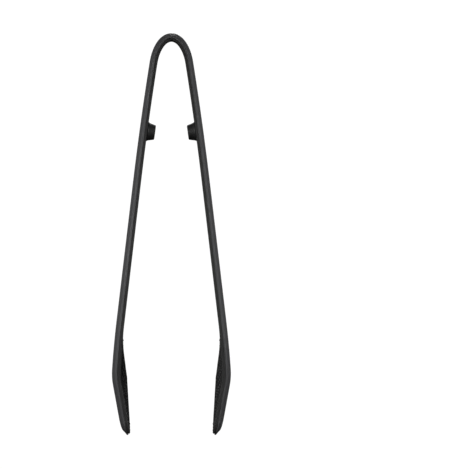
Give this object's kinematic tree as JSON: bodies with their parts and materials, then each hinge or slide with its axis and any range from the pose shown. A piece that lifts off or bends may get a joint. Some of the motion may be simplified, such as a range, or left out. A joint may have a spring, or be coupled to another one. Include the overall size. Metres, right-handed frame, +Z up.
{
  "type": "spring loaded kitchen tongs",
  "caption": "Black kitchen tongs: a sprung bow, long chamfered arms with stop bosses and slanted, scooped heads with a keyhole slot and textured grip pads.",
  "frame": {"origin": "inner side of the bow's apex, where the tongs hang on a hook", "axes": "+Z up along the tongs, from the tips to the bow; +X across the opening, towards the right arm; +Y towards the wide, far corners of the heads"},
  "size_m": [0.0858, 0.0468, 0.2901],
  "materials": {
    "nylon": "fine matte moulded grain, near black",
    "soft_grip": "matte black, studded on the grip pads",
    "spring_steel": "rolled strip, hidden between shell and liner"
  },
  "bodies": {
    "bow": {"crown_cover": "nylon", "crown_spring": "spring_steel", "crown_liner": "soft_grip"},
    "left_arm": {"left_arm_shell": "nylon", "left_spring_leaf": "spring_steel", "left_arm_liner": "soft_grip", "left_grip_pad": "soft_grip", "left_stop_boss": "soft_grip"},
    "right_arm": {"right_arm_shell": "nylon", "right_spring_leaf": "spring_steel", "right_arm_liner": "soft_grip", "right_grip_pad": "soft_grip", "right_stop_boss": "soft_grip"}
  },
  "joints": [
    {"name": "left_arm_flex", "type": "hinge", "parent": "bow", "child": "left_arm", "pos_m": [-0.0084, 0, -0.00283], "axis": [0, -1, 0], "range_deg": [0, 5.9], "stiffness_Nm_per_rad": 8},
    {"name": "right_arm_flex", "type": "hinge", "parent": "bow", "child": "right_arm", "pos_m": [0.0084, 0, -0.00283], "axis": [0, 1, 0], "range_deg": [0, 5.9], "stiffness_Nm_per_rad": 8}
  ],
  "couplings": [
    {"joint": "right_arm_flex", "follows": "left_arm_flex", "ratio": 1}
  ]
}
